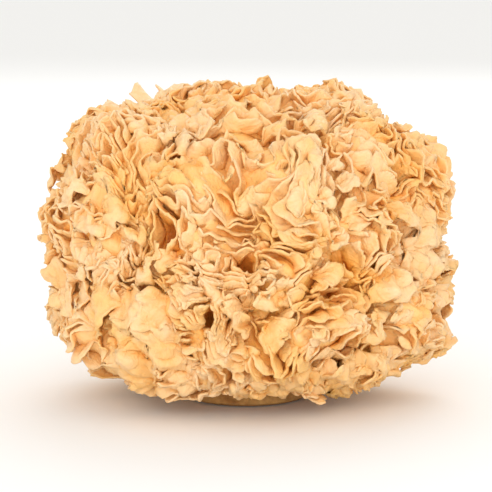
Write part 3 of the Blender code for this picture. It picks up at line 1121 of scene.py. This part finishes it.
def frond_finish():
    """Dried frond: waxy cream at the margins, amber where it lies deep or far from a margin, and darker as
    painted shade where crowded sheets keep light out.
    """
    n = Nodes("dried_frond")
    place = n.add("ShaderNodeTexCoord").outputs["Object"]
    # the depth attribute carries painted shade too, on sheets' inward sides and in pits
    depth = n.attribute("depth")
    edge = n.attribute("edge")
    cloudy = n.noise(place, 62.0, roughness=0.55)
    blotch = n.noise(place, 150.0, detail=4.0)
    speck = n.noise(place, 620.0, roughness=0.65)
    causes = [
        n.span(depth, 0.0, AMBER_DEPTH, 0.0, AMBER_SHARE),
        n.span(depth, AMBER_DEPTH, BROWN_DEPTH, 0.0, BROWN_SHARE),
        n.span(edge, 0.0, FAR_EDGE, 0.0, EDGE_SHARE),
        # painted shade where crowded sheets keep light out
        n.span(n.attribute("painted_shade"), *PAINTED_SHADE_SPAN, 0.0, PAINTED_SHADE_SHARE),
        n.span(blotch, 0.3, 0.7, -BLOTCH_SHARE, BLOTCH_SHARE),
        n.span(speck, 0.3, 0.7, -SPECK_SHARE, SPECK_SHARE),
    ]
    dark = causes[0]
    for cause in causes[1:]:
        dark = n.math("ADD", dark, cause)
    colour = n.mix(n.span(cloudy, 0.42, 0.64, 0.0, 0.7), n.ramp(dark, FROND_COLOURS), YELLOW, "MULTIPLY")
    folded = n.noise(place, 260.0, roughness=0.55, distortion=0.8)
    crease = n.math("ABSOLUTE", n.math("SUBTRACT", folded, 0.5))
    wrinkle = n.noise(place, 1100.0, distortion=0.3)
    return n.finish(
        Base_Color=colour,
        Roughness=n.span(speck, 0.3, 0.7, 0.36, 0.60),
        Specular_IOR_Level=0.5,
        Subsurface_Weight=0.12,
        Subsurface_Radius=(1.0, 1.0, 1.0),
        Subsurface_Scale=0.0006,
        strength=0.42,
        height=n.math("ADD", n.math("MULTIPLY", wrinkle, 0.22), n.span(crease, 0.0, 0.16)),
    )


def callus_finish():
    """The hard foot: yellow-brown, with a darker rind and pores on the cut, and a fine grain."""
    n = Nodes("callus")
    place = n.add("ShaderNodeTexCoord").outputs["Object"]
    cloudy = n.noise(place, 160.0, detail=4.0)
    grain = n.noise(place, 900.0)
    tone = n.math("ADD", n.math("MULTIPLY", grain, 0.35), n.math("MULTIPLY", cloudy, 0.65))
    x, y, z = n.add("ShaderNodeSeparateXYZ", {"Vector": place}).outputs
    radius = n.math("SQRT", n.math("ADD", n.math("POWER", x, 2.0), n.math("POWER", y, 2.0)))
    cut = n.span(z, 0.0008, 0.0002)
    rind = n.span(n.math("ADD", radius, n.math("MULTIPLY", cloudy, 0.005)), *RIND_RADII)
    colour = n.ramp(tone, CALLUS_COLOURS)
    colour = n.mix(n.math("MULTIPLY", n.math("MULTIPLY", rind, cut), 0.75), colour, RIND_COLOUR)
    pores = n.add("ShaderNodeTexVoronoi", {"Vector": place, "Scale": 420.0}).outputs["Distance"]
    pore = n.math("MULTIPLY", n.span(pores, 0.30, 0.16), cut)
    colour = n.mix(n.math("MULTIPLY", pore, 0.5), colour, PORE_COLOUR)
    return n.finish(
        Base_Color=colour,
        Roughness=n.span(grain, 0.3, 0.7, 0.6, 0.85),
        strength=0.6,
        height=n.math("SUBTRACT", tone, n.math("MULTIPLY", pore, 0.6)),
    )


def chart_sides(whole):
    """The sides of every chart, filled up to one number with sides that hold nothing back."""
    most = max(len(cluster.polygon) for cluster in whole)
    sides = np.zeros((len(whole), most, 3))
    sides[:, :, 2] = -1.0
    for own, cluster in zip(sides, whole):
        own[: len(cluster.polygon)] = cluster.sides()
    return sides


def grown_lines(whole, draw):
    """The lines of all charts, grown: each point's cluster and line, and its place at each stage."""
    lines, owner = [], []
    for i, cluster in enumerate(whole):
        started = first_lines(cluster, draw)
        lines += started
        owner += [i] * len(started)
    owner = np.array(owner)
    found = [(cluster, cluster.chart_point(d)) for cluster in whole for d in PIT_DIRECTIONS]
    pits = [point + cluster.place for cluster, point in found if point is not None]
    line, stages = resampled(*grown(lines, owner, chart_sides(whole), pits))
    return owner[line], line, stages


def all_sheets(whole):
    """Every cluster's sheets: the fine ones that its lines grow into, the broad ones and the small ones."""
    owner, line, stages = grown_lines(whole, np.random.default_rng(SEED + 30))
    draw = np.random.default_rng(SEED + 70)
    roots = flake_roots(draw)
    broad = [[] for _ in whole]
    for d, size in roots:
        broad[owner_of(whole, d)].append(flake(d, size, draw))
    sheets, placed = [], []
    for i, cluster in enumerate(whole):
        own = line[owner == i]
        places = stages[:, owner == i] - cluster.place
        points, depth, edge = sheet_points(cluster, places, own[1:] == own[:-1], roots)
        runs = [np.nonzero(own == one)[0] for one in np.unique(own)]
        fills = fill_places(cluster, places[-1], placed, draw)
        placed += fills
        fine = [(points[:, run], depth[:, run], edge[:, run]) for run in runs]
        sheets.append(fine + broad[i] + [flake(d, draw.uniform(*FILL_SIZE), draw) for d in fills])
    return sheets


def grow_head():
    """All frond clusters as pieces, each in place of its own solid."""
    whole = clusters()
    sheets = all_sheets(whole)
    crowding = Crowding(sheets)
    finish = frond_finish()
    for cluster, own in zip(whole, sheets):
        piece = frond_piece(cluster, own, crowding)
        piece.data.materials.append(finish)
        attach(piece, "root")
        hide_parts(cluster.name)


def add_base():
    piece = base_piece()
    piece.data.materials.append(callus_finish())
    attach(piece, "root")
    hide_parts("base")


def add_stage():
    """Plain pale floor, soft light and the camera."""
    scene = bpy.context.scene
    scene.view_settings.view_transform = "Standard"
    bpy.ops.mesh.primitive_plane_add(size=16.0, location=(0, 0, -0.2 * MM))
    floor = bpy.context.object
    floor.name = "floor"
    floor.data.materials.append(Nodes("floor").finish(Base_Color=(0.92, 0.92, 0.91, 1), Roughness=0.9))
    scene.world = bpy.data.worlds.new("studio")
    scene.world.use_nodes = True
    sky = scene.world.node_tree.nodes["Background"]
    sky.inputs["Color"].default_value = (1.0, 0.99, 0.97, 1)
    sky.inputs["Strength"].default_value = 0.96
    for name, place, size, power in LIGHTS:
        light = bpy.data.lights.new(name, "AREA")
        light.shape = "DISK"
        light.size = size
        light.energy = power
        aim(added(name, light), place, (0, 0, 0.04))
    camera = bpy.data.cameras.new("camera")
    camera.lens = 165
    scene.camera = added("camera", camera)
    back, rise = math.cos(CAMERA_ELEVATION), math.sin(CAMERA_ELEVATION)
    place = (0, -CAMERA_DISTANCE * back, CAMERA_TARGET[2] + CAMERA_DISTANCE * rise)
    aim(scene.camera, place, CAMERA_TARGET)


def aim(thing, place, target):
    thing.location = place
    away = Vector(place) - Vector(target)
    thing.rotation_euler = away.to_track_quat("Z", "Y").to_euler()


add_stage()
grow_head()
add_base()
